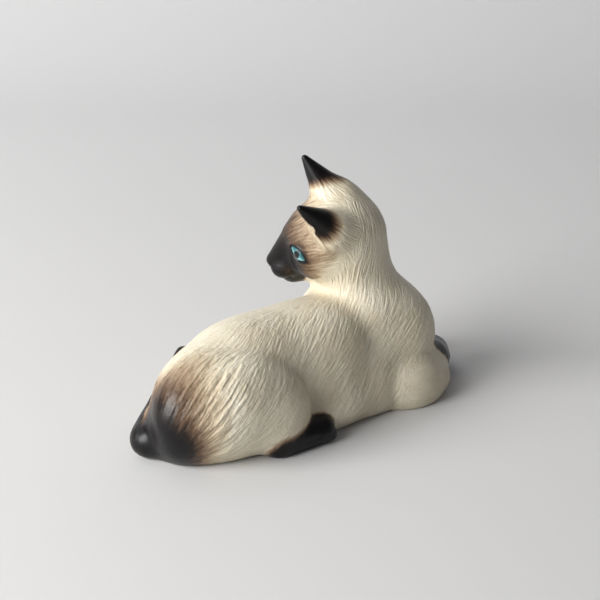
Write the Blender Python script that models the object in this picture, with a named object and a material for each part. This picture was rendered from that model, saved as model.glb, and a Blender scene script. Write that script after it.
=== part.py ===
"""A lying Siamese cat: a slip-cast, glazed figurine, as the cast pieces that are stuck together.

Lengths are in millimetres and become metres through MM. +X runs from the rump to the chest, +Y to
the cat's left and +Z up. The origin is under the middle of the figurine, on the surface it lies on.
"""
from math import asin, cos, pi, radians, sin

import bmesh
import bpy
from mathutils import Matrix, Vector

MM = 0.001

# Driving dimensions
WALL = 3.2              # thickness of the cast walls and of the base
JOINT_GAP = 0.3         # slip joint between two pieces
VENT_RADIUS = 4.0       # air hole in the base
VENT_AT = (-4.0, -1.0)
SPINE_Y = -1.0          # the trunk's middle plane
VOXEL = 1.3             # fineness of the modelled clay
ROLL_SEGMENTS = 24      # facets round a roll
ARC_STEPS = 6           # facets along each of its round ends
BLOCK = (400.0, 400.0, 100.0)       # blocks that cut flat faces
NECK_BLOCK = (54.0, 84.0, 84.0)     # block that holds the head alone

# How far each form's creases are blended, and the share of its facets that is kept
FORM_BLEND = (36, 0.075)
HOLLOW_BLEND = (6, 0.035)
TAIL_BLEND = (5, 0.14)
LEG_BLEND = (5, 0.07)
FOOT_BLEND = (3, 0.12)

# Trunk: centre x, y from the spine, z, then radii x, y, z
TRUNK = {
    "pelvis": ((-54.0, -0.4, 18.9), (24.0, 15.2, 19.2)),
    "loin": ((-26.8, 4.6, 25.0), (33.6, 22.4, 19.2)),
    "ribs": ((2.4, 0.0, 24.8), (28.0, 23.2, 19.5)),
    "chest": ((37.4, -6.0, 24.4), (21.2, 22.2, 20.8)),
    "belly": ((0.8, 0.0, 8.4), (37.0, 27.2, 14.6)),
    "seat": ((-45.0, 0.6, 9.6), (28.8, 13.2, 12.4)),
    "croup": ((-60.6, 8.6, 8.4), (13.0, 12.6, 11.4)),
}
# Neck: lower end and radius, upper end and radius
NECK = ((31.2, 0.0, 38.4), 14.2, (25.8, 3.4, 64.6), 15.9)

# One side of the cat, y out from the spine
THIGH = ((-43.4, 9.2, 19.8), (23.6, 15.0, 18.6))
KNEE = ((-34.0, 17.0, 14.0), (13.6, 9.4, 15.0))
SHOULDER = ((24.0, 9.6, 32.0), 11.2, (18.4, 13.6, 8.0), 13.6)
HIND_FOOT = ((-37.6, 20.0, 4.8), 6.0, (-18.8, 23.6, 5.0), 5.5)
FOREARM = ((42.6, 18.8, 4.6), (17.6, 13.4, 9.0))
ELBOWS = {
    "right": ((34.8, 21.2, 7.0), (16.6, 14.4, 13.4)),
    "left": ((34.8, 22.4, 7.0), (16.6, 14.4, 13.4)),
}
FORELEGS = {
    "right": [((34.0, 18.4, 10.4), 12.0), ((58.6, 14.6, 7.6), 7.8), ((66.8, 9.6, 6.8), 7.2)],
    "left": [((34.0, 18.4, 10.4), 12.0), ((58.0, 15.6, 7.4), 7.8), ((70.4, 10.6, 6.6), 6.8)],
}
SIDES = {"right": -1, "left": 1}

# Tail: points down its middle, with the radius at each
TAIL = [
    ((-60.0, 2.4, 11.0), 8.2), ((-66.4, 8.0, 7.6), 6.8), ((-70.8, 14.4, 6.2), 6.1),
    ((-64.6, 18.0, 8.2), 5.8), ((-58.0, 19.8, 11.8), 5.8), ((-53.2, 20.8, 17.0), 5.2),
    ((-47.8, 21.4, 23.2), 4.2), ((-43.0, 22.6, 29.6), 2.3),
]
TAIL_JOINT = (-69.0, 10.8, 7.0)
TAIL_JOINT_FACES = (0.3, 0.95, 0.0)

# Head: its place, how it is turned, and its masses in its own frame (x to the nose, z to the crown)
HEAD_AT = (19.2, 1.8, 67.2)
HEAD_YAW = 120.0
HEAD_PITCH = 17.0
HEAD_ROLL = -26.0
CRANIUM = ((2.8, 0.0, -0.2), (14.8, 15.0, 14.2))
BROW = ((6.8, 0.0, 4.2), (11.2, 10.4, 8.0))
CHEEK = ((6.4, 8.0, -4.8), (10.4, 7.2, 8.8))
MUZZLE = ((9.6, 0.0, -4.0), 9.2, (24.2, 0.0, -9.2), 5.4)
JAW = ((2.4, 0.0, -11.4), 8.7, (21.6, 0.0, -13.6), 5.0)
BRIDGE = ((15.4, 0.0, 3.4), 4.9, (27.2, 0.0, -5.6), 2.8)
WHISKER_PAD = ((23.6, 2.8, -9.2), (5.4, 4.0, 3.8))
CHIN = ((22.4, 0.0, -14.8), (4.8, 4.4, 3.2))
NOSE = ((28.6, 0.0, -6.2), (2.1, 2.6, 1.9))
NECK_JOINT = (26.4, 1.4, 52.8)
NECK_JOINT_FACES = (-0.26, 0.14, 0.955)

# Left ear in the head's frame; the right one mirrors it
EAR_TIP = (3.2, 14.6, 27.4)
EAR_TIP_RADIUS = 1.3
EAR_ROOT = (-2.4, 9.3, 9.0)
EAR_ROOT_RADIUS = 8.1
EAR_FRONT_EDGE = (5.8, 7.2, 16.4)
EAR_SIDE_EDGE = (0.4, 15.4, 9.4)
EAR_OPENING_LIFT = 1.4      # how far the opening's plane lies in front of those three points
EAR_HOLLOW = ((3.1, 13.5, 17.3), 3.6, (3.5, 14.3, 22.2), 0.9)

COLOURS = {
    "body_shell": (0.72, 0.66, 0.50),
    "head": (0.62, 0.53, 0.38),
    "left_ear": (0.03, 0.022, 0.018),
    "right_ear": (0.03, 0.022, 0.018),
    "left_foreleg": (0.30, 0.25, 0.19),
    "right_foreleg": (0.30, 0.25, 0.19),
    "left_hind_foot": (0.04, 0.03, 0.025),
    "right_hind_foot": (0.04, 0.03, 0.025),
    "tail": (0.05, 0.038, 0.03),
}


def metres(point):
    """A point in metres from one in millimetres."""
    return Vector(point) * MM


def sided(point, side):
    """A point given out from the spine, on the cat's left (1) or right (-1)."""
    return (point[0], SPINE_Y + side * point[1], point[2])


def head_frame():
    """Turns the head's own frame into the figurine's."""
    turn = Matrix.Rotation(radians(HEAD_YAW), 4, "Z")
    turn = turn @ Matrix.Rotation(radians(HEAD_PITCH), 4, "Y")
    turn = turn @ Matrix.Rotation(radians(HEAD_ROLL), 4, "X")
    return Matrix.Translation(metres(HEAD_AT)) @ turn


def new_object(name, bm):
    """An object that holds the bmesh's faces, shaded smooth."""
    mesh = bpy.data.meshes.new(name)
    bm.to_mesh(mesh)
    bm.free()
    mesh.shade_smooth()
    obj = bpy.data.objects.new(name, mesh)
    bpy.context.collection.objects.link(obj)
    return obj


def hide_cutter(obj):
    """Marks an object as a cutter, which is not part of the figurine."""
    obj.hide_render = True
    obj.display_type = "WIRE"
    return obj


def add_mesh(bm, extra):
    """Adds one bmesh to another and frees it."""
    mesh = bpy.data.meshes.new("extra")
    extra.to_mesh(mesh)
    extra.free()
    bm.from_mesh(mesh)
    bpy.data.meshes.remove(mesh)


def add_ball(bm, centre, radii):
    """An ellipsoid of clay."""
    shape = Matrix.Translation(metres(centre)) @ Matrix.Diagonal((*metres(radii), 1.0))
    bmesh.ops.create_uvsphere(bm, u_segments=40, v_segments=20, radius=1.0, matrix=shape)


def roll_profile(start_radius, end_radius, length):
    """Half the outline of a roll along +Z, from its lower pole to its upper one."""
    lean = asin((start_radius - end_radius) / length)
    points = []
    for step in range(ARC_STEPS + 1):
        angle = -pi / 2 + (lean + pi / 2) * step / ARC_STEPS
        points.append((start_radius * cos(angle), 0.0, start_radius * sin(angle)))
    for step in range(ARC_STEPS + 1):
        angle = lean + (pi / 2 - lean) * step / ARC_STEPS
        points.append((end_radius * cos(angle), 0.0, length + end_radius * sin(angle)))
    return points


def add_roll(bm, start, start_radius, end, end_radius):
    """A tapered roll of clay with round ends, spun round its middle line."""
    along = Vector(end) - Vector(start)
    roll = bmesh.new()
    verts = [roll.verts.new(metres(p)) for p in roll_profile(start_radius, end_radius, along.length)]
    edges = [roll.edges.new(pair) for pair in zip(verts, verts[1:])]
    bmesh.ops.spin(
        roll, geom=verts + edges, cent=(0, 0, 0), axis=(0, 0, 1), dvec=(0, 0, 0), angle=2 * pi,
        steps=ROLL_SEGMENTS, use_merge=True, use_duplicate=False)
    bmesh.ops.remove_doubles(roll, verts=roll.verts, dist=0.01 * MM)
    bmesh.ops.recalc_face_normals(roll, faces=roll.faces)
    turn = along.to_track_quat("Z", "Y").to_matrix().to_4x4()
    bmesh.ops.transform(roll, matrix=Matrix.Translation(metres(start)) @ turn, verts=roll.verts)
    add_mesh(bm, roll)


def add_chain(bm, points):
    """Rolls end to end along points that each carry a radius."""
    for (start, start_radius), (end, end_radius) in zip(points, points[1:]):
        add_roll(bm, start, start_radius, end, end_radius)


def add_trunk(bm, shrink=0.0):
    """Trunk, neck, thighs and shoulders; shrink takes the wall off for the hollow."""
    for centre, radii in TRUNK.values():
        add_ball(bm, sided(centre, 1), [radius - shrink for radius in radii])
    low, low_radius, high, high_radius = NECK
    add_roll(bm, sided(low, 1), low_radius - shrink, sided(high, 1), high_radius - shrink)
    for side in SIDES.values():
        for centre, radii in (THIGH, KNEE):
            add_ball(bm, sided(centre, side), [radius - shrink for radius in radii])
        top, top_radius, foot, foot_radius = SHOULDER
        add_roll(bm, sided(top, side), top_radius - shrink, sided(foot, side), foot_radius - shrink)


def add_skull(bm, shrink=0.0):
    """Cranium, brow and cheeks."""
    head = bmesh.new()
    add_ball(head, CRANIUM[0], [radius - shrink for radius in CRANIUM[1]])
    add_ball(head, BROW[0], [radius - shrink for radius in BROW[1]])
    for side in SIDES.values():
        (x, y, z), radii = CHEEK
        add_ball(head, (x, side * y, z), [radius - shrink for radius in radii])
    place_head_part(bm, head)


def add_face(bm):
    """Muzzle, jaw, nose bridge, whisker pads, chin and nose."""
    head = bmesh.new()
    for roll in (MUZZLE, JAW, BRIDGE):
        add_roll(head, *roll)
    for side in SIDES.values():
        (x, y, z), radii = WHISKER_PAD
        add_ball(head, (x, side * y, z), radii)
    add_ball(head, *CHIN)
    add_ball(head, *NOSE)
    place_head_part(bm, head)


def place_head_part(bm, head):
    """Moves what was built in the head's frame to the head's place, and adds it."""
    bmesh.ops.transform(head, matrix=head_frame(), verts=head.verts)
    add_mesh(bm, head)


def fuse(obj, blend):
    """Makes one skin of the overlapping masses, blends the creases and thins the facets."""
    rounds, kept = blend
    remesh = obj.modifiers.new("fuse", "REMESH")
    remesh.mode = "VOXEL"
    remesh.voxel_size = VOXEL * MM
    remesh.use_smooth_shade = True
    smooth = obj.modifiers.new("blend", "SMOOTH")
    smooth.factor = 0.5
    smooth.iterations = rounds
    decimate = obj.modifiers.new("thin", "DECIMATE")
    decimate.ratio = kept


def boolean(obj, cutter, operation="DIFFERENCE"):
    """Cuts, joins or intersects an object with another."""
    modifier = obj.modifiers.new(operation.lower(), "BOOLEAN")
    modifier.operation = operation
    modifier.solver = "EXACT"
    modifier.object = cutter


def block(name, point, facing, offset=0.0, size=BLOCK):
    """A cutting block whose face passes through the point and looks along facing."""
    up = Vector(facing).normalized()
    side = up.cross(Vector((1, 0, 0)) if abs(up.x) < 0.9 else Vector((0, 1, 0))).normalized()
    turn = Matrix((side.cross(up), side, up)).transposed().to_4x4()
    centre = metres(point) + up * (offset - size[2] / 2) * MM
    shape = Matrix.Translation(centre) @ turn @ Matrix.Diagonal((*metres(size), 1.0))
    bm = bmesh.new()
    bmesh.ops.create_cube(bm, size=1.0, matrix=shape)
    return hide_cutter(new_object(name, bm))


def opposite(direction):
    """The reversed direction."""
    return [-value for value in direction]


def head_block(name, lift):
    """A block round the head whose lower face is the neck joint, lifted off it."""
    down = opposite(NECK_JOINT_FACES)
    return block(name, NECK_JOINT, down, -lift, NECK_BLOCK)


def make_form(name):
    """The outer clay of trunk and head in one, without limbs, ears and tail."""
    bm = bmesh.new()
    add_trunk(bm)
    add_skull(bm)
    add_face(bm)
    obj = new_object(name, bm)
    fuse(obj, FORM_BLEND)
    return obj


def make_skin():
    """The clay of trunk and head, larger by the joint gap: what is stuck on is cut to fit it."""
    obj = make_form("skin_cutter")
    grow = obj.modifiers.new("grow", "DISPLACE")
    grow.strength = JOINT_GAP * MM
    grow.mid_level = 0.0
    return hide_cutter(obj)


def make_hollow(floor):
    """The space that the poured-out slip leaves inside trunk, neck and skull."""
    bm = bmesh.new()
    add_trunk(bm, WALL)
    add_skull(bm, WALL)
    obj = new_object("hollow_cutter", bm)
    fuse(obj, HOLLOW_BLEND)
    boolean(obj, floor)
    return hide_cutter(obj)


def make_vent():
    """The air hole through the base."""
    bm = bmesh.new()
    place = Matrix.Translation(metres((*VENT_AT, 0.0)))
    bmesh.ops.create_cone(
        bm, cap_ends=True, segments=24, radius1=VENT_RADIUS * MM, radius2=VENT_RADIUS * MM,
        depth=5 * WALL * MM, matrix=place)
    return hide_cutter(new_object("vent_cutter", bm))


def make_body(ground, hollow):
    """The hollow trunk with the neck up to its joint, the tail's stump and the vent."""
    obj = make_form("body_shell")
    boolean(obj, head_block("above_neck", -JOINT_GAP / 2))
    boolean(obj, make_stump(), "UNION")
    boolean(obj, ground)
    boolean(obj, hollow)
    boolean(obj, make_vent())
    return obj


def make_head(hollow):
    """The hollow head, open at the neck joint."""
    obj = make_form("head")
    boolean(obj, head_block("head_room", JOINT_GAP / 2), "INTERSECT")
    boolean(obj, hollow)
    return obj


def make_tail_roll(name):
    """The whole tail as one tapered roll."""
    bm = bmesh.new()
    add_chain(bm, TAIL)
    obj = new_object(name, bm)
    fuse(obj, TAIL_BLEND)
    return obj


def make_stump():
    """The start of the tail, cast with the rump and cut flat at the joint."""
    obj = make_tail_roll("stump_cutter")
    boolean(obj, block("beyond_joint", TAIL_JOINT, opposite(TAIL_JOINT_FACES), JOINT_GAP / 2))
    return hide_cutter(obj)


def make_tail(ground, skin):
    """The tail from its joint to its tip, bedded against the thigh."""
    obj = make_tail_roll("tail")
    boolean(obj, block("before_joint", TAIL_JOINT, TAIL_JOINT_FACES, JOINT_GAP / 2))
    boolean(obj, skin)
    boolean(obj, ground)
    return obj


def make_foreleg(name, side, ground, skin):
    """A folded foreleg: elbow, forearm and paw."""
    points = [(sided(point, SIDES[side]), radius) for point, radius in FORELEGS[side]]
    bm = bmesh.new()
    add_chain(bm, points)
    for centre, radii in (ELBOWS[side], FOREARM):
        add_ball(bm, sided(centre, SIDES[side]), radii)
    obj = new_object(name, bm)
    fuse(obj, LEG_BLEND)
    boolean(obj, skin)
    boolean(obj, ground)
    return obj


def make_hind_foot(name, side, ground, skin):
    """The paw that shows from under the thigh."""
    heel, heel_radius, toes, toe_radius = HIND_FOOT
    bm = bmesh.new()
    add_roll(bm, sided(heel, SIDES[side]), heel_radius, sided(toes, SIDES[side]), toe_radius)
    obj = new_object(name, bm)
    fuse(obj, FOOT_BLEND)
    boolean(obj, skin)
    boolean(obj, ground)
    return obj


def on_head(point, side):
    """A point of the left ear on either side, in millimetres of the figurine's frame."""
    mirrored = metres((point[0], side * point[1], point[2]))
    return (head_frame() @ mirrored) / MM


def make_ear(name, side, skin):
    """A hollowed horn: round behind, cut off in front by the plane of its opening."""
    turn = SIDES[side]
    tip = on_head(EAR_TIP, turn)
    front = on_head(EAR_FRONT_EDGE, turn)
    lateral = on_head(EAR_SIDE_EDGE, turn)
    facing = (front - tip).cross(lateral - tip) * turn
    bm = bmesh.new()
    add_roll(bm, on_head(EAR_ROOT, turn), EAR_ROOT_RADIUS, tip, EAR_TIP_RADIUS)
    obj = new_object(name, bm)
    boolean(obj, block(name + "_front", tip, opposite(facing), -EAR_OPENING_LIFT))
    bm = bmesh.new()
    low, low_radius, high, high_radius = EAR_HOLLOW
    add_roll(bm, on_head(low, turn), low_radius, on_head(high, turn), high_radius)
    boolean(obj, hide_cutter(new_object(name + "_hollow", bm)))
    boolean(obj, skin)
    return obj


def glaze(obj):
    """Gloss glaze in the piece's main colour."""
    material = bpy.data.materials.new(obj.name + "_glaze")
    material.use_nodes = True
    shader = material.node_tree.nodes["Principled BSDF"]
    shader.inputs["Base Color"].default_value = (*COLOURS[obj.name], 1.0)
    shader.inputs["Roughness"].default_value = 0.2
    shader.inputs["Metallic"].default_value = 0.0
    obj.data.materials.append(material)


def main():
    """Builds every piece of the figurine."""
    for old in list(bpy.data.objects):
        bpy.data.objects.remove(old, do_unlink=True)
    ground = block("ground", (0, 0, 0), (0, 0, 1))
    floor = block("floor", (0, 0, WALL), (0, 0, 1))
    skin = make_skin()
    hollow = make_hollow(floor)
    pieces = [make_body(ground, hollow), make_head(hollow), make_tail(ground, skin)]
    for side in SIDES:
        pieces.append(make_foreleg(side + "_foreleg", side, ground, skin))
        pieces.append(make_hind_foot(side + "_hind_foot", side, ground, skin))
        pieces.append(make_ear(side + "_ear", side, skin))
    for piece in pieces:
        glaze(piece)


main()
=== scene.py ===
"""The looks of the lying Siamese cat: its modelled surface, glaze, floor, light and camera.

The clay is described by a signed distance field in millimetres, in the part's own frame (+X from
the rump to the chest, +Y to the cat's left, +Z up). Each cast piece is meshed from that one field,
so that neighbours meet flush, and then gets its fur strokes, eyes and painted shading.
"""
from math import cos, radians, sin

import bpy
import numpy as np
import openvdb
from mathutils import Matrix, Vector


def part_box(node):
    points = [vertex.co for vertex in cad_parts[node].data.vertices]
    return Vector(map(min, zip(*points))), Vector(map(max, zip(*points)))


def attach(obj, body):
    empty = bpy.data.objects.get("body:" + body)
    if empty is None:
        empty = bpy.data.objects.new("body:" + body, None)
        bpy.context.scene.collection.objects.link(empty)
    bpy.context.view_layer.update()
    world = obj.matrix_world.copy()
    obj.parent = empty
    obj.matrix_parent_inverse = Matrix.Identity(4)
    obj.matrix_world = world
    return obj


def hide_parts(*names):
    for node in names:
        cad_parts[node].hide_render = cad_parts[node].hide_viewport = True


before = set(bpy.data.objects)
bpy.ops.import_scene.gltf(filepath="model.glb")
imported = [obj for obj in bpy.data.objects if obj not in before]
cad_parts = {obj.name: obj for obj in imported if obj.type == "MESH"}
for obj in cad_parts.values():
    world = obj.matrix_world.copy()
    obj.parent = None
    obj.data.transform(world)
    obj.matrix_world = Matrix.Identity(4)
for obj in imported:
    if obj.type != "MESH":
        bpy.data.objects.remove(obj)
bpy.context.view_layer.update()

MM = 0.001
SPINE_Y = -1.0          # the trunk's middle plane
OVERLAP = 0.6           # how far a piece runs on underneath the one stuck to it
TUCK = 0.2              # slope at which it sinks there
FINE = 1.0

# ------------------------------------------------------------------------------ the clay's masses
# Balls: centre x, y out from the spine, z, then radii. Rolls: start, radius, end, radius.
PELVIS = ((-54.0, -0.4, 18.9), (24.0, 15.2, 19.2))
LOIN = ((-26.8, 4.6, 25.0), (33.6, 22.4, 19.2))
RIBS = ((2.4, 0.0, 24.8), (28.0, 23.2, 19.5))
CHEST = ((37.4, -6.0, 24.4), (21.2, 22.2, 20.8))
BELLY = ((0.8, 0.0, 8.4), (37.0, 27.2, 14.6))
SEAT = ((-45.0, 0.6, 9.6), (28.8, 13.2, 12.4))
CROUP = ((-60.6, 8.6, 8.4), (13.0, 12.6, 11.4))
NECK = ((31.2, 0.0, 38.4), 14.2, (25.8, 3.4, 64.6), 15.9)
THIGH = ((-43.4, 9.2, 19.8), (23.6, 15.0, 18.6))
KNEE = ((-34.0, 17.0, 14.0), (13.6, 9.4, 15.0))
SHOULDER = ((24.0, 9.6, 32.0), 11.2, (18.4, 13.6, 8.0), 13.6)
HIND_FOOT = ((-37.6, 20.0, 4.8), 6.0, (-18.8, 23.6, 5.0), 5.5)
ELBOWS = {
    -1: ((34.8, 21.2, 7.0), (16.6, 14.4, 13.4)),
    1: ((34.8, 22.4, 7.0), (16.6, 14.4, 13.4)),
}
FOREARM = ((42.6, 18.8, 4.6), (17.6, 13.4, 9.0))
FORELEGS = {
    -1: [((34.0, 18.4, 10.4), 12.0), ((58.6, 14.6, 7.6), 7.8), ((66.8, 9.6, 6.8), 7.2)],
    1: [((34.0, 18.4, 10.4), 12.0), ((58.0, 15.6, 7.4), 7.8), ((70.4, 10.6, 6.6), 6.8)],
}
TAIL = [
    (-60.0, 2.4, 11.0, 8.2), (-66.4, 8.0, 7.6, 6.8), (-70.6, 14.2, 6.2, 5.9),
    (-64.6, 18.0, 8.2, 5.8), (-58.0, 19.8, 11.8, 5.8), (-53.2, 20.8, 17.0, 5.2),
    (-47.8, 21.4, 23.2, 4.2), (-43.2, 23.0, 30.2, 2.4),
]
TAIL_JOINT = (-69.0, 10.8, 7.0)
TAIL_JOINT_FACES = (0.3, 0.95, 0.0)
NECK_JOINT = (26.4, 1.4, 52.8)
NECK_JOINT_FACES = (-0.26, 0.14, 0.955)
VENT = (-4.0, -1.0, 4.0, 14.0)      # x, y, radius and depth of the air hole

TOES = ((-1.5, 0.0), (-0.5, 0.9), (0.5, 0.9), (1.5, 0.0))   # place across, reach ahead
FORE_TOE_SPREAD = 0.42              # distance between toes, as a share of the paw's radius
HIND_TOE_SPREAD = 0.4

# How widely each mass flows into what it is joined to, and how far each cut edge is rounded
FILLET = {
    "ribs": 13, "chest": 11, "belly": 11, "shoulder": 10,
    "seat": 8, "croup": 9, "knee": 8, "haunch": 14, "rump": 2.6,
    "foreleg": 5.0, "wrist": 3.2, "elbow": 6, "forearm": 6, "fore_toes": 1.6,
    "hind_foot": 3.0, "hind_toes": 1.4, "toe": 0.7, "tail": 3, "tail_length": 1.5,
    "skull": 6.4, "jaw": 4, "whisker_pad": 3.6, "chin": 2.4, "bridge": 3.2, "nose": 1.2,
    "ear": 8, "ear_edge": 1.4, "hollow_edge": 1.2, "vent_edge": 0.8, "base_edge": 1.2,
}
# Fillets where the neck folds, and what is added to them on the outside of its bend
NECK_FILLET = (12, 6)
HEAD_FILLET = (6, 12)

# The head's own frame: x to the nose, y to its left, z to the crown
HEAD_AT = (19.2, 1.8, 67.2)
HEAD_TURN = (120.0, 17.0, -26.0)    # about z, then y, then x
CRANIUM = ((2.8, 0.0, -0.2), (14.8, 15.0, 14.2))
BROW = ((6.8, 0.0, 4.2), (11.2, 10.4, 8.0))
CHEEK = ((6.4, 8.0, -4.8), (10.4, 7.2, 8.8))
MUZZLE = ((9.6, 0.0, -4.0), 9.2, (24.2, 0.0, -9.2), 5.4)
JAW = ((2.4, 0.0, -11.4), 8.7, (21.6, 0.0, -13.6), 5.0)
BRIDGE = ((15.4, 0.0, 3.4), 4.9, (27.2, 0.0, -5.6), 2.8)
WHISKER_PAD = ((23.6, 2.8, -9.2), (5.4, 4.0, 3.8))
CHIN = ((22.4, 0.0, -14.8), (4.8, 4.4, 3.2))
NOSE = ((28.6, 0.0, -6.2), (2.1, 2.6, 1.9))
EAR_TIP = (3.2, 14.6, 27.4)
EAR_ROOT = (-2.4, 9.3, 9.0)
EAR_FRONT_EDGE = (5.8, 7.2, 16.4)
EAR_SIDE_EDGE = (0.4, 15.4, 9.4)
EAR_RADII = (8.1, 1.3)              # at the root and at the tip
EAR_LIFT = 1.4                      # how far the opening lies in front of those points
HOLLOW_DEEP = (0.52, 3.6, 3.6)      # share of the way to the root, distance in front, radius
HOLLOW_HIGH = (0.26, 2.2, 0.9)
HOLLOW_WALL = 1.2                   # clay left behind the hollow
EYE_INNER = (15.4, 7.6, 5.2)
EYE_OUTER = (11.2, 14.2, 0.8)
EYE_HALF = (4.2, 2.0)               # half its length and height
MOUTH = [
    (31.2, 0.0, -8.0), (30.4, 0.0, -11.2), (29.0, 2.6, -12.6), (26.0, 4.6, -12.8),
    (22.4, 6.4, -12.0),
]
NOSTRIL = [(31.4, 1.0, -6.6), (30.6, 2.2, -6.2)]
MOUTH_CUT = (0.55, 0.55)            # depth and half width
NOSTRIL_CUT = (0.6, 0.5)
EYEBALL_RISE = 0.55
EYE_GROOVE = (0.55, 0.16)           # depth, and half width as a share of the eye
LIDS = (0.38, 0.42, 0.24)           # height, then distance from the rim and half width as shares
HEAD_ENDS = (38.0, 44.0)            # distance from the head's centre over which its effects fade

# Where the dark underglaze lies, and where it is held lighter on the muzzle's sides as a painted
# sheen: centre and radii, in the head's frame and in the figurine's
MASK = ((23.0, 0.0, -6.0), (15.5, 17.0, 14.5))
MUZZLE_PAINTED_SHEEN = ((21.0, 0.0, -8.0), (6.0, 9.0, 4.0))
RUMP_DARK = ((-80.0, 2.0, 12.5), (38.0, 26.0, 32.0))


# --------------------------------------------------------------------------- distance functions
def vec(*values):
    """A 32-bit vector."""
    return np.array(values, np.float32)


def length(v):
    """Length of each row."""
    return np.sqrt((v * v).sum(1))


def unit(v):
    """The vector at length 1."""
    v = np.asarray(v, np.float32)
    return v / np.linalg.norm(v)


def smooth(x, low, high):
    """0 below low, 1 above high, eased between."""
    t = np.clip((x - low) / (high - low), 0, 1)
    return t * t * (3 - 2 * t)


def smin(a, b, k):
    """Union of two distances with a fillet of about k."""
    h = np.maximum(k - np.abs(a - b), 0) / k
    return np.minimum(a, b) - h * h * h * k / 6


def smax(a, b, k):
    """Intersection of two distances with a rounded edge of about k."""
    return -smin(-a, -b, k)


def ball(p, centre, radii):
    """Distance to an ellipsoid."""
    q = p - vec(*centre)
    r = vec(*radii)
    near = length(q / r)
    return near * (near - 1) / np.maximum(length(q / (r * r)), 1e-6)


def roll(p, start, start_radius, end, end_radius):
    """Distance to a tapered roll with round ends."""
    a = vec(*start)
    along = vec(*end) - a
    size = np.linalg.norm(along)
    lean = (start_radius - end_radius) / size
    rise = np.sqrt(max(1 - lean * lean, 1e-6))
    q = p - a
    t = q @ along / size
    side = np.sqrt(np.maximum((q * q).sum(1) - t * t, 0))
    t = np.clip((t - side * lean / rise) / size, 0, 1)
    return length(q - t[:, None] * along) - (start_radius + t * (end_radius - start_radius))


def turn_matrix(yaw, pitch, tilt):
    """Rotation about z, then the new y, then the new x, in degrees."""
    turn = Matrix.Rotation(radians(yaw), 3, "Z") @ Matrix.Rotation(radians(pitch), 3, "Y")
    return np.array(turn @ Matrix.Rotation(radians(tilt), 3, "X"), np.float32)


HEAD_AXES = turn_matrix(*HEAD_TURN)


def to_head(p):
    """Points in the head's frame."""
    return (p - vec(*HEAD_AT)) @ HEAD_AXES


def sided(point, side):
    """A point given out from the spine, on the cat's left (1) or right (-1)."""
    return (point[0], SPINE_Y + side * point[1], point[2])


def mirrored(point, side):
    """A point of the head's left half on either side."""
    return (point[0], side * point[1], point[2])


# --------------------------------------------------------------------------------- the body
def haunch(p, side):
    """Thigh and knee of one side."""
    thigh = ball(p, sided(THIGH[0], side), THIGH[1])
    return smin(thigh, ball(p, sided(KNEE[0], side), KNEE[1]), FILLET["knee"])


def shoulder(p, side):
    """Shoulder and upper arm of one side."""
    top, top_radius, foot, foot_radius = SHOULDER
    return roll(p, sided(top, side), top_radius, sided(foot, side), foot_radius)


def barrel(p):
    """Loin, ribs, chest and belly."""
    d = ball(p, sided(LOIN[0], 1), LOIN[1])
    for (centre, radii), word in ((RIBS, "ribs"), (CHEST, "chest"), (BELLY, "belly")):
        d = smin(d, ball(p, sided(centre, 1), radii), FILLET[word])
    return d


def rump(p):
    """Pelvis and both haunches."""
    d = ball(p, sided(PELVIS[0], 1), PELVIS[1])
    d = smin(d, ball(p, sided(SEAT[0], 1), SEAT[1]), FILLET["seat"])
    d = smin(d, ball(p, sided(CROUP[0], 1), CROUP[1]), FILLET["croup"])
    for side in (-1, 1):
        d = smin(d, haunch(p, side), FILLET["haunch"])
    return d


def neck(p):
    """The neck, up into the head."""
    low, low_radius, high, high_radius = NECK
    return roll(p, sided(low, 1), low_radius, sided(high, 1), high_radius)


def toes(p, heel, tip, radius, spread):
    """Four toes in a row across the end of a paw."""
    ahead = unit(np.subtract(tip, heel) * (1, 1, 0))
    across = vec(-ahead[1], ahead[0], 0)
    d = None
    for step, reach in TOES:
        front = vec(*tip) + ahead * (radius * 0.45 + reach) + across * step * spread
        front[2] = radius * 0.62
        back = front - ahead * radius * 0.9 + vec(0, 0, radius * 0.25)
        toe = roll(p, back, radius * 0.5, front, radius * 0.4)
        d = toe if d is None else smin(d, toe, FILLET["toe"])
    return d


def foreleg(p, side):
    """Elbow, forearm and paw with its toes."""
    points = [(sided(point, side), radius) for point, radius in FORELEGS[side]]
    (elbow, r0), (wrist, r1), (paw, r2) = points
    d = smin(roll(p, elbow, r0, wrist, r1), roll(p, wrist, r1, paw, r2), FILLET["wrist"])
    d = smin(d, ball(p, sided(ELBOWS[side][0], side), ELBOWS[side][1]), FILLET["elbow"])
    d = smin(d, ball(p, sided(FOREARM[0], side), FOREARM[1]), FILLET["forearm"])
    return smin(d, toes(p, wrist, paw, r2, r2 * FORE_TOE_SPREAD), FILLET["fore_toes"])


def hind_foot(p, side):
    """The paw that shows from under the thigh."""
    heel, heel_radius, tip, tip_radius = HIND_FOOT
    heel, tip = sided(heel, side), sided(tip, side)
    d = roll(p, heel, heel_radius, tip, tip_radius)
    paw_end = toes(p, heel, tip, tip_radius, tip_radius * HIND_TOE_SPREAD)
    return smin(d, paw_end, FILLET["hind_toes"])


def tail_line():
    """A smooth curve through the tail's points, with the radius along it."""
    points = np.array([TAIL[0]] + TAIL + [TAIL[-1]], float)
    line = []
    for a, b, c, d in zip(points, points[1:], points[2:], points[3:]):
        for t in (0.0, 0.25, 0.5, 0.75):
            line.append(0.5 * (
                2 * b + (c - a) * t + (2 * a - 5 * b + 4 * c - d) * t ** 2
                + (3 * b - a - 3 * c + d) * t ** 3))
    return np.array(line + [points[-1]], np.float32)


TAIL_LINE = tail_line()


def tail(p):
    """The tail from its root in the rump to its tip."""
    d = None
    for a, b in zip(TAIL_LINE, TAIL_LINE[1:]):
        part = roll(p, a[:3], a[3], b[:3], b[3])
        d = part if d is None else smin(d, part, FILLET["tail_length"])
    return d


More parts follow.
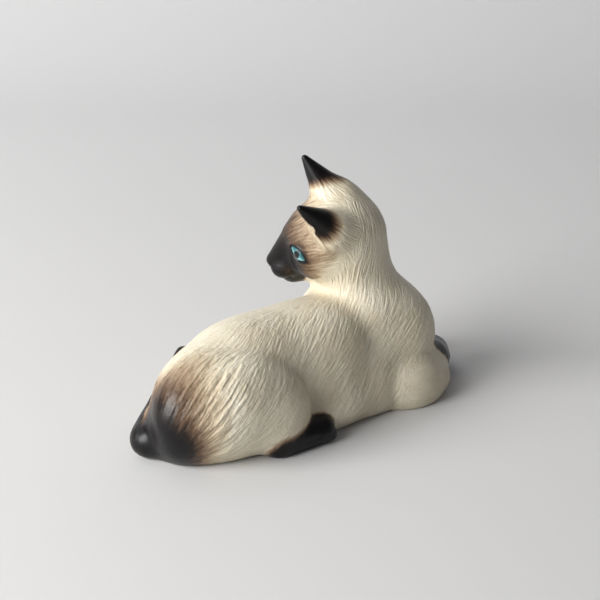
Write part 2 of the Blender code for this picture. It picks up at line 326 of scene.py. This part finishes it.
# --------------------------------------------------------------------------------- the head
def skull(q):
    """The head in its own frame, without the ears."""
    d = smin(ball(q, *CRANIUM), ball(q, *BROW), FILLET["skull"])
    for side in (-1, 1):
        d = smin(d, ball(q, mirrored(CHEEK[0], side), CHEEK[1]), FILLET["skull"])
    d = smin(d, roll(q, *MUZZLE), FILLET["skull"])
    d = smin(d, roll(q, *JAW), FILLET["jaw"])
    for side in (-1, 1):
        pad = ball(q, mirrored(WHISKER_PAD[0], side), WHISKER_PAD[1])
        d = smin(d, pad, FILLET["whisker_pad"])
    d = smin(d, ball(q, *CHIN), FILLET["chin"])
    d = smin(d, roll(q, *BRIDGE), FILLET["bridge"])
    return smin(d, ball(q, *NOSE), FILLET["nose"])


def ear_parts(side):
    """Tip, root and the facing of the opening of one ear, in the head's frame."""
    tip = vec(*mirrored(EAR_TIP, side))
    front = vec(*mirrored(EAR_FRONT_EDGE, side)) - tip
    lateral = vec(*mirrored(EAR_SIDE_EDGE, side)) - tip
    return tip, vec(*mirrored(EAR_ROOT, side)), unit(np.cross(front, lateral) * side)


def ear(q, side):
    """One ear, solid: round behind, cut off in front by the plane of its opening."""
    tip, root, opening = ear_parts(side)
    root_radius, tip_radius = EAR_RADII
    horn = roll(q, root, root_radius, tip, tip_radius)
    return smax(horn, (q - tip) @ opening - EAR_LIFT, FILLET["ear_edge"])


def ear_hollow(q, side):
    """The hollow in the front of one ear."""
    tip, root, opening = ear_parts(side)
    share, ahead, deep_radius = HOLLOW_DEEP
    deep = tip + (root - tip) * share + opening * ahead
    share, ahead, high_radius = HOLLOW_HIGH
    high = tip + (root - tip) * share + opening * ahead
    return roll(q, deep, deep_radius, high, high_radius)


# --------------------------------------------------------------------------- the whole figurine
def outside_bend(p):
    """0 where the turned neck folds, 1 on the outside of its bend."""
    return smooth(p[:, 0] - 0.5 * p[:, 1], 8, 26)


def masses(p):
    """The distance to each part of the clay on its own."""
    q = to_head(p)
    bare_skull = skull(q)
    hollows = np.minimum(ear_hollow(q, 1), ear_hollow(q, -1))
    around, upright = barrel(p), neck(p)
    fold, bend = NECK_FILLET
    body = smin(around, upright, fold + bend * outside_bend(p))
    for side in (-1, 1):
        body = smin(body, shoulder(p, side), FILLET["shoulder"])
    body = smin(body, rump(p), FILLET["rump"])
    return {
        "barrel": around,
        "neck": upright,
        "body_shell": body,
        "head": bare_skull,
        "left_ear": ear(q, 1),
        "right_ear": ear(q, -1),
        "hollows": np.maximum(hollows, HOLLOW_WALL - bare_skull),
        "left_foreleg": foreleg(p, 1),
        "right_foreleg": foreleg(p, -1),
        "left_hind_foot": hind_foot(p, 1),
        "right_hind_foot": hind_foot(p, -1),
        "tail": tail(p),
    }


def clay(p, m):
    """The distance to the whole figurine's outside."""
    ears = smin(m["left_ear"], m["right_ear"], FILLET["ear"])
    head = smin(m["head"], ears, FILLET["ear"])
    head = smax(head, -m["hollows"], FILLET["hollow_edge"])
    d = m["body_shell"]
    for side in ("left", "right"):
        d = smin(d, m[side + "_foreleg"], FILLET["foreleg"])
        d = smin(d, m[side + "_hind_foot"], FILLET["hind_foot"])
    d = smin(d, m["tail"], FILLET["tail"])
    fold, bend = HEAD_FILLET
    d = smin(d, head, fold + bend * outside_bend(p))
    x, y, radius, depth = VENT
    vent = np.hypot(p[:, 0] - x, p[:, 1] - y) - radius
    d = smax(d, -np.maximum(vent, p[:, 2] - depth), FILLET["vent_edge"])
    return smax(d, -p[:, 2], FILLET["base_edge"])


def facing(p, point, direction):
    """How far points are beyond the plane through the point."""
    return (p - vec(*point)) @ unit(direction)


def territories(p, m):
    """For each piece stuck to another, a value below 0 where the clay is that piece's."""
    upper = np.minimum(m["neck"], np.minimum(m["head"], np.minimum(m["left_ear"], m["right_ear"])))
    head = np.maximum(-facing(p, NECK_JOINT, NECK_JOINT_FACES), upper - m["barrel"])
    tail_part = np.maximum(m["tail"] - m["body_shell"], -facing(p, TAIL_JOINT, TAIL_JOINT_FACES))
    found = {"head": head, "tail": tail_part}
    for side in ("left", "right"):
        found[side + "_ear"] = m[side + "_ear"] - m["head"]
        for limb in ("_foreleg", "_hind_foot"):
            found[side + limb] = m[side + limb] - m["body_shell"]
    return found


STUCK_ON = {
    "head": ["left_ear", "right_ear"],
    "body_shell": ["head", "tail", "left_foreleg", "right_foreleg", "left_hind_foot",
                   "right_hind_foot"],
}


def piece_fields(p, name):
    """The clay's distance and the piece's territory, both below 0 inside the piece."""
    m = masses(p)
    outside = clay(p, m)
    lands = territories(p, m)
    land = lands.get(name, np.full(len(p), -9.0, np.float32))
    for other in STUCK_ON.get(name, ()):
        outside = outside + TUCK * np.clip(-lands[other], 0, OVERLAP)
        land = np.maximum(land, -lands[other] - OVERLAP)
    return outside, land


# ------------------------------------------------------------------------------------- meshing
SAMPLE_BLOCK = 8        # grid cells along a block that is sampled or skipped as one
BLOCKS_AT_ONCE = 600
CREASE = 50             # degrees at which an edge is shaded sharp


def piece_distance(p, name):
    """Distance to one piece."""
    outside, land = piece_fields(p, name)
    return np.maximum(outside, land)


def sampled(name, low, high, step):
    """The piece's distance on a grid, exact near its surface."""
    block = SAMPLE_BLOCK
    shape = [int(np.ceil((b - a) / step / block)) * block for a, b in zip(low, high)]
    starts = np.stack(np.meshgrid(*[np.arange(0, n, block) for n in shape], indexing="ij"), -1)
    starts = starts.reshape(-1, 3)
    centres = (low + (starts + block / 2) * step).astype(np.float32)
    reach = 1.15 * block * step
    rough = piece_distance(centres, name)
    grid = np.full(shape, 3 * step, np.float32)
    inner = np.stack(np.meshgrid(*[np.arange(block)] * 3, indexing="ij"), -1).reshape(-1, 3)
    for i, j, k in starts[rough < -reach]:
        grid[i:i + block, j:j + block, k:k + block] = -3 * step
    near = starts[np.abs(rough) <= reach]
    for batch in np.array_split(near, max(1, len(near) // BLOCKS_AT_ONCE)):
        index = (batch[:, None, :] + inner[None]).reshape(-1, 3)
        points = (low + index * step).astype(np.float32)
        grid[tuple(index.T)] = np.clip(piece_distance(points, name), -3 * step, 3 * step)
    return grid


def slope(field, p, reach=0.05):
    """A field's value and gradient."""
    value = field(p)
    grad = np.empty_like(p)
    for axis in range(3):
        ahead = p.copy()
        ahead[:, axis] += reach
        grad[:, axis] = (field(ahead) - value) / reach
    return value, grad


def pulled(p, field, share=1.0):
    """Points moved along the gradient onto the field's zero."""
    value, grad = slope(field, p)
    size = np.maximum((grad * grad).sum(1), 0.05)
    return p - (share * np.clip(value, -1, 1) / size)[:, None] * grad


def meshed(name, step):
    """Vertices and quads of one piece, with crisp edges where it was cut."""
    low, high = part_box(name)
    low = np.array(low) / MM - 6 * step - 2.5
    high = np.array(high) / MM + 6 * step + 2.5
    grid = openvdb.FloatGrid(3 * step)
    grid.copyFromArray(sampled(name, low, high, step))
    points, quads = grid.convertToQuads(0.0)
    p = (low + np.asarray(points) * step).astype(np.float32)
    for _ in range(2):
        outside, land = piece_fields(p, name)
        edge = (np.abs(outside) < step) & (np.abs(land) < step)
        face = ~edge & (outside >= land)
        cut = ~edge & (outside < land)
        for chosen, part in ((face | edge, 0), (cut | edge, 1)):
            if chosen.any():
                p[chosen] = pulled(p[chosen], lambda x, part=part: piece_fields(x, name)[part])
    quads = np.asarray(quads)
    a, b, c = (p[quads[:, i]] for i in range(3))
    if (a * np.cross(b, c)).sum() < 0:
        quads = quads[:, ::-1]
    return p, quads


def normals(p):
    """Outward directions of the clay's surface."""
    _, grad = slope(lambda x: clay(x, masses(x)), p)
    return grad / np.maximum(length(grad), 1e-6)[:, None]


# ---------------------------------------------------------------------------------- fur strokes
FINE_STROKES = (0.75, 2.4)          # width and half length
COARSE_STROKES = (1.2, 3.2)
STROKE_SAMPLES = 9
STROKE_CONTRAST = 6.0


def lattice(i, j, k):
    """A fixed pseudo-random value from 0 to 1 for each lattice point."""
    h = (i * 73856093) ^ (j * 19349663) ^ (k * 83492791)
    h = (h ^ (h >> 13)) * 1274126177
    return ((h ^ (h >> 16)) & 0xFFFF).astype(np.float32) / 65535


def noise(p, size):
    """Smooth noise from 0 to 1 with cells of the given size."""
    q = p / size
    base = np.floor(q).astype(np.int64)
    t = (q - base).astype(np.float32)
    t = t * t * (3 - 2 * t)
    total = np.zeros(len(p), np.float32)
    for corner in range(8):
        bits = [(corner >> axis) & 1 for axis in range(3)]
        weight = np.ones(len(p), np.float32)
        for axis, bit in enumerate(bits):
            weight *= t[:, axis] if bit else 1 - t[:, axis]
        total += weight * lattice(*(base[:, axis] + bit for axis, bit in enumerate(bits)))
    return total


def strokes(p, lay, size, reach):
    """Noise drawn out along the lay of the fur: from about -1 in a groove to 1 on a ridge."""
    total = np.zeros(len(p), np.float32)
    for t in np.linspace(-reach, reach, STROKE_SAMPLES):
        total += noise(p + lay * np.float32(t), size)
    return (total / STROKE_SAMPLES - 0.5) * STROKE_CONTRAST


def fur_lay(p, n, m):
    """Which way the fur lies: back and down the body, back over the head, down each limb."""
    q = to_head(p)
    lay = np.tile(vec(-1.0, 0.0, -0.9), (len(p), 1))
    on_neck = smooth(p[:, 2], 34, 50)[:, None]
    lay = lay * (1 - on_neck) + vec(-0.15, 0.0, -1.0) * on_neck
    on_head = smooth(m["body_shell"] - m["head"], -1, 5)[:, None]
    back = vec(-1.0, 0.0, 0.1) @ HEAD_AXES.T
    down = vec(-0.7, 0.0, -0.8) @ HEAD_AXES.T
    low = smooth(-q[:, 2], 0, 10)[:, None]
    lay = lay * (1 - on_head) + (back * (1 - low) + down * low) * on_head
    for side, word in ((-1, "right"), (1, "left")):
        tip, root, _ = ear_parts(side)
        ear_way = unit(tip - root) @ HEAD_AXES.T
        on_ear = smooth(m["head"] - m[word + "_ear"], -1, 3)[:, None]
        lay = lay * (1 - on_ear) + ear_way * on_ear
        elbow, wrist = (np.array(sided(FORELEGS[side][i][0], side)) for i in (0, 1))
        on_leg = smooth(m["body_shell"] - m[word + "_foreleg"], 0, 6)[:, None]
        lay = lay * (1 - on_leg) + unit(wrist - elbow) * on_leg
    lay = lay - (lay * n).sum(1)[:, None] * n
    return lay / np.maximum(length(lay), 1e-3)[:, None]


# -------------------------------------------------------------------------------- eyes and face
def eye_place(q):
    """Across and up the nearer eye as shares of its half length and height, and how near it is."""
    side = np.where(q[:, 1] >= 0, 1, -1).astype(np.float32)
    r = q * np.stack([np.ones_like(side), side, np.ones_like(side)], 1)
    inner, outer = vec(*EYE_INNER), vec(*EYE_OUTER)
    along = unit(outer - inner)
    up = unit(vec(0, 0, 1) - along * along[2])
    rel = r - (inner + outer) / 2
    out = np.abs(rel @ unit(np.cross(along, up)))
    across = rel @ along / EYE_HALF[0]
    rise = rel @ up / EYE_HALF[1]
    near = 1 - smooth(out, 4, 6)
    return across, rise, near


def eye_relief(q):
    """Height of the eyeball, the groove round it and the lids."""
    across, rise, near = eye_place(q)
    rim = np.abs(rise) + across ** 2 - 1
    eyeball = EYEBALL_RISE * np.sqrt(np.clip(-rim, 0, 1))
    groove = -EYE_GROOVE[0] * np.exp(-(rim / EYE_GROOVE[1]) ** 2)
    lids = LIDS[0] * np.exp(-((rim - LIDS[1]) / LIDS[2]) ** 2) * (across < 1.5)
    return (eyeball + groove + lids) * near


def near_line(q, points):
    """Distance to a line of straight stretches, with y taken from the middle of the face."""
    r = np.stack([q[:, 0], np.abs(q[:, 1]), q[:, 2]], 1)
    d = None
    for a, b in zip(points, points[1:]):
        part = roll(r, a, 0.0, b, 0.001)
        d = part if d is None else np.minimum(d, part)
    return d


def face_relief(q):
    """Mouth, nostrils and eyes."""
    mouth = -MOUTH_CUT[0] * np.exp(-(near_line(q, MOUTH) / MOUTH_CUT[1]) ** 2)
    nostril = -NOSTRIL_CUT[0] * np.exp(-(near_line(q, NOSTRIL) / NOSTRIL_CUT[1]) ** 2)
    return mouth + nostril + eye_relief(q)


# ----------------------------------------------------------------------------- painted shading
def near_head(q):
    """1 on the head, 0 on the rest of the cat, for points in the head's frame."""
    near, far = HEAD_ENDS
    return smooth(-length(q), -far, -near)


def mask_paint(q, m):
    """The dark of the face: full at the nose, thinning out behind the eyes and up the forehead,
    held lighter on the muzzle's sides as a painted sheen.
    """
    on_head = smooth(m["body_shell"] - m["head"], 0, 4) * near_head(q)
    reach = length((q - vec(*MASK[0])) / vec(*MASK[1]))
    # The mask reaches high over the forehead: partly the points' own tint, partly painted shade
    # for a face that lies in shadow.
    outer = 1.5 + 0.85 * smooth(q[:, 2], -6, 4)
    face = (outer - reach) / (outer - 0.88)
    # The muzzle's sides are kept a lighter brown: a painted sheen, standing in for the soft
    # reflection of the light there.
    pad = length((q - vec(*MUZZLE_PAINTED_SHEEN[0])) / vec(*MUZZLE_PAINTED_SHEEN[1]))
    face = np.minimum(face, 0.72 + 0.6 * smooth(pad, 0.5, 1.2))
    across, rise, near = eye_place(q)
    socket = 1.1 - 0.3 * np.maximum(np.abs(rise) + across ** 2 - 1, 0)
    face = np.maximum(face, socket * near - 1 + near)
    stripe = 1.1 - np.abs(q[:, 1]) / 2.6 - smooth(q[:, 2], 11, 16)
    stripe = np.where(q[:, 0] > 4, stripe, -1)
    return np.maximum(face, stripe) * on_head - 2 * (1 - on_head)


def ear_paint(q, m):
    """The dark of the ears, from the base to the tip, with a pale rim round the opening."""
    best = np.full(len(q), -2.0, np.float32)
    for side, word in ((-1, "right"), (1, "left")):
        tip, _, opening = ear_parts(side)
        height = 0.9 + (q[:, 2] + 0.8 * side * q[:, 1] - 27.3) / 5.5
        on_ear = smooth(m["head"] - m[word + "_ear"], -8.0, -1.0) * near_head(q)
        rim = np.exp(-(((q - tip) @ opening - 1.1) / 0.35) ** 2) * smooth(length(q - tip), 2, 6)
        best = np.maximum(best, height * on_ear - 2 * (1 - on_ear) - 0.8 * rim)
    return best


def rump_paint(p):
    """The dark that spreads from the tail's root up over the back of the rump."""
    x, y, z = p.T
    reach = length((p - vec(*RUMP_DARK[0])) / vec(*RUMP_DARK[1]))
    edge = 0.84 + 0.27 * smooth(z, 5, 29) - 0.16 * smooth(y, 4, 10) * smooth(z, 24, 34)
    fade = 0.32 + 0.34 * smooth(z, 8, 26)
    return np.where(x < -45, (edge - reach) / fade, -2)


def paw_paint(p, m):
    """The dark of the tail and the paws."""
    best = (m["body_shell"] - m["tail"] + 0.5) / 1.6
    for side, word in ((-1, "right"), (1, "left")):
        _, (wrist, r1), (paw, r2) = ((sided(c, side), r) for c, r in FORELEGS[side])
        arm = np.minimum(ball(p, sided(ELBOWS[side][0], side), ELBOWS[side][1]),
                         ball(p, sided(FOREARM[0], side), FOREARM[1]))
        arm = np.minimum(arm, m["body_shell"])
        best = np.maximum(best, (arm - roll(p, wrist, r1, paw, r2) - 0.2) / 1.6)
        foot = (m["body_shell"] - m[word + "_hind_foot"] + 1.4) / 2.2
        best = np.maximum(best, foot)
    return best


def paint(p, m):
    """How dark the underglaze is: below 0 none, above 1 full."""
    q = to_head(p)
    found = [mask_paint(q, m), ear_paint(q, m), rump_paint(p), paw_paint(p, m)]
    return np.clip(np.max(found, axis=0), -1.5, 2.5)


# --------------------------------------------------------------------------------------- pieces
def relief(p, m, lay, dark):
    """Height of the fur strokes and of the face, and the strokes themselves."""
    q = to_head(p)
    fine = strokes(p, lay, *FINE_STROKES)
    coarse = strokes(p + 31.0, lay, *COARSE_STROKES)
    depth = 0.09 + 0.08 * smooth(noise(p + 7.0, 9.0), 0.3, 0.7)
    bare = smooth(dark, 0.6, 1.2)
    combed = smooth(dark, -0.7, 0.0) * (1 - bare) * smooth(-p[:, 0], 36, 52)
    on_face = smooth(q[:, 0], 8, 16) * near_head(q)
    depth = depth * (1 - 0.85 * bare) * (1 - 0.7 * on_face)
    height = np.clip(fine, -1.2, 1.0) * depth + np.clip(coarse, -1, 1) * (0.03 + 0.2 * combed)
    height = height * (1 - 0.45 * near_head(q))
    height = height * smooth(p[:, 2], 0.6, 3.0)
    return height + face_relief(q) * near_head(q), fine


def add_attribute(mesh, name, values):
    """Stores one number, or three, for each vertex."""
    kind = "FLOAT" if values.ndim == 1 else "FLOAT_VECTOR"
    attribute = mesh.attributes.new(name, kind, "POINT")
    key = "value" if values.ndim == 1 else "vector"
    attribute.data.foreach_set(key, values.astype(np.float32).ravel())


def make_piece(node, step, material):
    """Builds the visible piece that stands for a CAD node."""
    p, quads = meshed(node, step * FINE)
    n = normals(p)
    m = masses(p)
    dark = paint(p, m)
    lay = fur_lay(p, n, m)
    height, fur = relief(p, m, lay, dark)
    outside, _ = piece_fields(p, node)
    q = to_head(p)
    across, rise, near = eye_place(q)
    on_outside = smooth(outside, -0.3, -0.05)
    p = p + n * (height * on_outside)[:, None]
    mesh = bpy.data.meshes.new(node + "_clay")
    mesh.from_pydata((p * MM).tolist(), [], quads.tolist())
    mesh.update()
    add_attribute(mesh, "dark", dark)
    add_attribute(mesh, "fur", fur)
    add_attribute(mesh, "lay", lay)
    add_attribute(mesh, "eye", np.stack([across, rise, near * near_head(q)], 1))
    mesh.shade_smooth()
    mesh.set_sharp_from_angle(angle=radians(CREASE))
    mesh.materials.append(material)
    piece = bpy.data.objects.new("glazed_" + node, mesh)
    bpy.context.scene.collection.objects.link(piece)
    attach(piece, "root")
    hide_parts(node)
    return piece


# ------------------------------------------------------------------------------------ materials
class Nodes:
    """Short ways to add shader nodes to one material."""

    def __init__(self, name):
        self.material = bpy.data.materials.new(name)
        self.material.use_nodes = True
        self.tree = self.material.node_tree
        self.shader = self.tree.nodes["Principled BSDF"]

    def add(self, kind, inputs=(), **settings):
        """A node with its settings and inputs, which are values or other nodes' outputs."""
        node = self.tree.nodes.new("ShaderNode" + kind)
        for key, value in settings.items():
            setattr(node, key, value)
        for key, value in dict(inputs).items():
            self.put(value, node.inputs[key])
        return node

    def put(self, value, socket):
        """Links an output to a socket, or sets the socket's value."""
        if isinstance(value, bpy.types.NodeSocket):
            self.tree.links.new(value, socket)
        else:
            socket.default_value = value

    def math(self, operation, a, b=0.0, c=0.0):
        """The result of one calculation."""
        node = self.add("Math", {0: a, 1: b, 2: c}, operation=operation)
        return node.outputs[0]

    def ease(self, value, low, high):
        """0 at low, 1 at high, eased between."""
        node = self.add("MapRange", {"Value": value, "From Min": low, "From Max": high},
                        interpolation_type="SMOOTHSTEP")
        return node.outputs["Result"]

    def mix(self, share, a, b):
        """Colour a where the share is 0 and b where it is 1."""
        node = self.add("Mix", {"Factor": share, 6: a, 7: b}, data_type="RGBA")
        return node.outputs[2]

    def ramp(self, value, stops):
        """A colour ramp."""
        node = self.add("ValToRGB", {"Fac": value})
        ramp = node.color_ramp
        while len(ramp.elements) < len(stops):
            ramp.elements.new(0.5)
        for element, (place, colour) in zip(ramp.elements, stops):
            element.position = place
            element.color = (*colour, 1)
        return node.outputs["Color"]

    def noise(self, where, scale, detail=2.0, roughness=0.5):
        """Noise with this many cells to the metre."""
        node = self.add("TexNoise", {"Vector": where, "Scale": scale, "Detail": detail,
                                     "Roughness": roughness})
        return node.outputs["Fac"]


CREAM = (0.72, 0.66, 0.52, 1)
CREAM_DEEP = (0.62, 0.55, 0.41, 1)
CREAM_LINE = (0.50, 0.43, 0.29, 1)
HAIR_CELLS = 1300.0         # cells to the metre across the finest strokes
HAIR_STEPS = (-1.8, -1.2, -0.6, 0.0, 0.6, 1.2, 1.8)     # millimetres along the lay
HAIR_CONTRAST = 9.0
MOTTLE_CELLS = 60.0
SMUDGE_CELLS = 140.0
RIPPLES = ((420.0, 2.0, 0.12), (900.0, 3.0, 0.05))      # cells, detail and height in the glaze
ROUGHNESS = (0.34, -0.06, 0.14)     # on the cream, change in the dark, and what smudges add
BUMP = (0.8, 0.0004)                # strength and distance
UNDERGLAZE = [
    (0.0, (1.0, 1.0, 1.0)), (0.16, (0.80, 0.74, 0.68)), (0.36, (0.46, 0.37, 0.31)),
    (0.56, (0.16, 0.105, 0.08)), (0.78, (0.018, 0.012, 0.011)), (1.0, (0.004, 0.003, 0.004)),
]
GLAZE = {
    "IOR": 1.5, "Specular IOR Level": 0.28, "Coat Weight": 0.06, "Coat Roughness": 0.28,
    "Subsurface Weight": 0.05, "Subsurface Radius": (0.003, 0.002, 0.001),
}
EYE_LIGHT = (0.24, 0.48, 0.47, 1)
EYE_DEEP = (0.03, 0.12, 0.14, 1)
PUPIL = (0.004, 0.005, 0.006, 1)
LID_LINE = (0.006, 0.005, 0.005, 1)


def hair_lines(t, where):
    """Noise drawn out along the lay of the fur, finer than the modelled strokes."""
    lay = t.add("Attribute", attribute_name="lay").outputs["Vector"]
    hair = 0.0
    for step in HAIR_STEPS:
        aside = t.add("VectorMath", {0: lay, 1: (step * MM,) * 3, 2: where},
                      operation="MULTIPLY_ADD")
        hair = t.math("ADD", hair, t.noise(aside.outputs["Vector"], HAIR_CELLS, 1.0))
    hair = t.math("MULTIPLY_ADD", hair, 1 / len(HAIR_STEPS), -0.5)
    return t.math("MULTIPLY", hair, HAIR_CONTRAST)


def underglaze(t, dark, line, mottle):
    """The airbrushed tint, ragged along the strokes at its edge."""
    ragged = t.math("MULTIPLY_ADD", t.math("SUBTRACT", mottle, 0.5), 0.2, dark)
    edge = t.math("MULTIPLY", t.ease(dark, -0.9, 0.0), t.ease(dark, 1.6, 0.9))
    ragged = t.math("MULTIPLY_ADD", t.math("MULTIPLY", line, edge), -0.14, ragged)
    return t.ramp(t.math("MULTIPLY", ragged, 0.8), UNDERGLAZE)


def with_eyes(t, painted):
    """The colour with the painted eyes on it: lid line, iris and pupil."""
    place = t.add("Attribute", attribute_name="eye").outputs["Vector"]
    eye = t.add("SeparateXYZ", {"Vector": place})
    across, rise, near = (eye.outputs[i] for i in range(3))
    rim = t.math("ADD", t.math("ABSOLUTE", rise), t.math("MULTIPLY", across, across))
    rim = t.math("SUBTRACT", rim, 1.0)
    iris = t.mix(t.ease(rise, -0.5, 0.6), EYE_LIGHT, EYE_DEEP)
    slit = t.math("MULTIPLY", t.math("ABSOLUTE", across), 2.6)
    pupil = t.ease(t.math("ADD", slit, t.math("MULTIPLY", rise, rise)), 1.0, 0.75)
    iris = t.mix(pupil, iris, PUPIL)
    lined = t.math("MULTIPLY", t.ease(rim, 0.7, 0.45), near)
    painted = t.mix(lined, painted, LID_LINE)
    return t.mix(t.math("MULTIPLY", t.ease(rim, -0.02, -0.14), near), painted, iris)


def glaze(name):
    """Clear glaze over cream slip, with brown-black underglaze airbrushed on the points."""
    t = Nodes(name)
    where = t.add("TexCoord").outputs["Object"]
    dark = t.add("Attribute", attribute_name="dark").outputs["Fac"]
    fur = t.add("Attribute", attribute_name="fur").outputs["Fac"]
    mottle = t.noise(where, MOTTLE_CELLS, 4.0)
    hair = hair_lines(t, where)
    line = t.math("ADD", t.math("MULTIPLY", fur, 0.5), t.math("MULTIPLY", hair, 0.8))
    groove = t.ease(line, -0.1, -1.2)
    cream = t.mix(t.ease(mottle, 0.35, 0.65), CREAM, CREAM_DEEP)
    cream = t.mix(t.math("MULTIPLY", groove, 0.5), cream, CREAM_LINE)
    tint = underglaze(t, dark, line, mottle)
    painted = t.add("Mix", {"Factor": 1.0, 6: cream, 7: tint}, data_type="RGBA",
                    blend_type="MULTIPLY").outputs[2]
    t.put(with_eyes(t, painted), t.shader.inputs["Base Color"])
    smudge = t.noise(where, SMUDGE_CELLS, 3.0)
    cream_rough, in_dark, smudged = ROUGHNESS
    rough = t.math("MULTIPLY_ADD", t.ease(dark, 0.2, 1.0), in_dark, cream_rough)
    t.put(t.math("MULTIPLY_ADD", smudge, smudged, rough), t.shader.inputs["Roughness"])
    for socket, value in GLAZE.items():
        t.shader.inputs[socket].default_value = value
    furry = t.math("MULTIPLY_ADD", t.ease(dark, 0.5, 1.1), -0.85, 1.0)
    height = t.math("MULTIPLY", t.math("MULTIPLY", hair, furry), 0.35)
    for cells, detail, share in RIPPLES:
        height = t.math("MULTIPLY_ADD", t.noise(where, cells, detail), share, height)
    strength, distance = BUMP
    bump = t.add("Bump", {"Height": height, "Strength": strength, "Distance": distance})
    t.put(bump.outputs["Normal"], t.shader.inputs["Normal"])
    return t.material


# ------------------------------------------------------------------- floor, light and camera
CAMERA_TURN = -48.0
CAMERA_RISE = 20.0
CAMERA_REACH = 0.608
LOOKS_AT = Vector((-0.004, -0.001, 0.0464))
SHEET = 4.0                 # half width of the card
SWEEP_START = 0.5           # how far behind the figurine it starts to curve up
SWEEP_RADIUS = 0.6
SWEEP_STEPS = 24
CARD = ((0.60, 0.595, 0.585, 1), (0.63, 0.625, 0.615, 1))   # its two tones in front
# Its brighter colour at the back: painted light on the backdrop
CARD_PAINTED_LIGHT_BEHIND = (0.84, 0.835, 0.83, 1)
# Lights: turn from the camera, rise, distance, width and height, watts
KEY_LIGHT = (-56, 24, 1.1, (0.9, 0.7), 23.0)
TOP_LIGHT = (-130, 48, 1.8, (2.0, 1.4), 8.5)
ROOM_COLOUR = (0.95, 0.95, 1.0, 1)
ROOM_STRENGTH = 0.14
LENS = 96.0
SENSOR = 36.0


def direction(turn, rise):
    """The way from the figurine towards a camera turned and raised this much, in degrees."""
    a, e = radians(turn), radians(rise)
    return Vector((sin(a) * cos(e), -cos(a) * cos(e), sin(e)))


def make_floor():
    """A wide sheet of pale matt card that curves up behind the figurine, coloured brighter towards
    the back as painted light.
    """
    mesh = bpy.data.meshes.new("studio_floor")
    outline = [(-SHEET, 0.0)]
    for step in range(SWEEP_STEPS + 1):
        a = radians(90) * step / SWEEP_STEPS
        outline.append((SWEEP_START + SWEEP_RADIUS * sin(a), SWEEP_RADIUS * (1 - cos(a))))
    outline.append((outline[-1][0], SHEET))
    behind = -direction(CAMERA_TURN, 0)
    across = Vector((behind.y, -behind.x, 0))
    corners = []
    for back, rise in outline:
        for side in (-SHEET, SHEET):
            corners.append(behind * back + across * side + Vector((0, 0, rise)))
    faces = [(i, i + 1, i + 3, i + 2) for i in range(0, len(corners) - 2, 2)]
    mesh.from_pydata(corners, [], faces)
    mesh.shade_smooth()
    floor = bpy.data.objects.new("studio_floor", mesh)
    bpy.context.scene.collection.objects.link(floor)
    t = Nodes("pale_card")
    where = t.add("TexCoord").outputs["Object"]
    tone = t.noise(where, 6.0, 3.0)
    turned = t.add("VectorMath", {0: where, 1: behind}, operation="DOT_PRODUCT").outputs["Value"]
    card = t.mix(tone, *CARD)
    # Brighter towards the back: painted light, as if the backdrop caught more of the lamps than
    # the floor in front
    card = t.mix(t.ease(turned, -0.3, 0.9), card, CARD_PAINTED_LIGHT_BEHIND)
    t.put(card, t.shader.inputs["Base Color"])
    t.put(t.math("MULTIPLY_ADD", tone, 0.1, 0.75), t.shader.inputs["Roughness"])
    mesh.materials.append(t.material)


def add_lamp(name, turn, rise, reach, size, power):
    """A flat soft light that faces the figurine, turned this far from the camera."""
    lamp = bpy.data.objects.new(name, bpy.data.lights.new(name, "AREA"))
    lamp.data.shape = "RECTANGLE"
    lamp.data.size, lamp.data.size_y = size
    lamp.data.energy = power
    away = direction(CAMERA_TURN + turn, rise)
    lamp.location = LOOKS_AT + away * reach
    lamp.rotation_mode = "QUATERNION"
    lamp.rotation_quaternion = away.to_track_quat("Z", "Y")
    bpy.context.scene.collection.objects.link(lamp)


def make_studio():
    """Floor, lights, pale surroundings and the camera."""
    scene = bpy.context.scene
    make_floor()
    add_lamp("key_light", *KEY_LIGHT)
    add_lamp("top_light", *TOP_LIGHT)
    world = bpy.data.worlds.new("pale_room")
    world.use_nodes = True
    background = world.node_tree.nodes["Background"]
    background.inputs["Color"].default_value = ROOM_COLOUR
    background.inputs["Strength"].default_value = ROOM_STRENGTH
    scene.world = world
    scene.view_settings.view_transform = "Standard"
    away = direction(CAMERA_TURN, CAMERA_RISE)
    camera = bpy.data.objects.new("camera", bpy.data.cameras.new("camera"))
    camera.data.lens = LENS
    camera.data.sensor_width = SENSOR
    camera.location = LOOKS_AT + away * CAMERA_REACH
    camera.rotation_mode = "QUATERNION"
    camera.rotation_quaternion = away.to_track_quat("Z", "Y")
    scene.collection.objects.link(camera)
    scene.camera = camera


# --------------------------------------------------------------------------- the cat, put together
# Material slot and mesh size in millimetres of each piece
PIECES = {
    "body_shell": ("cream_glaze", 0.42),
    "head": ("mask_glaze", 0.3),
    "left_ear": ("dark_glaze", 0.26),
    "right_ear": ("dark_glaze", 0.26),
    "left_hind_foot": ("dark_glaze", 0.34),
    "right_hind_foot": ("dark_glaze", 0.34),
    "tail": ("dark_glaze", 0.34),
    "left_foreleg": ("foreleg_glaze", 0.36),
    "right_foreleg": ("foreleg_glaze", 0.36),
}
glazes = {slot: glaze("glazed_" + slot) for slot, _ in PIECES.values()}
for node, (slot, step) in PIECES.items():
    make_piece(node, step, glazes[slot])
make_studio()
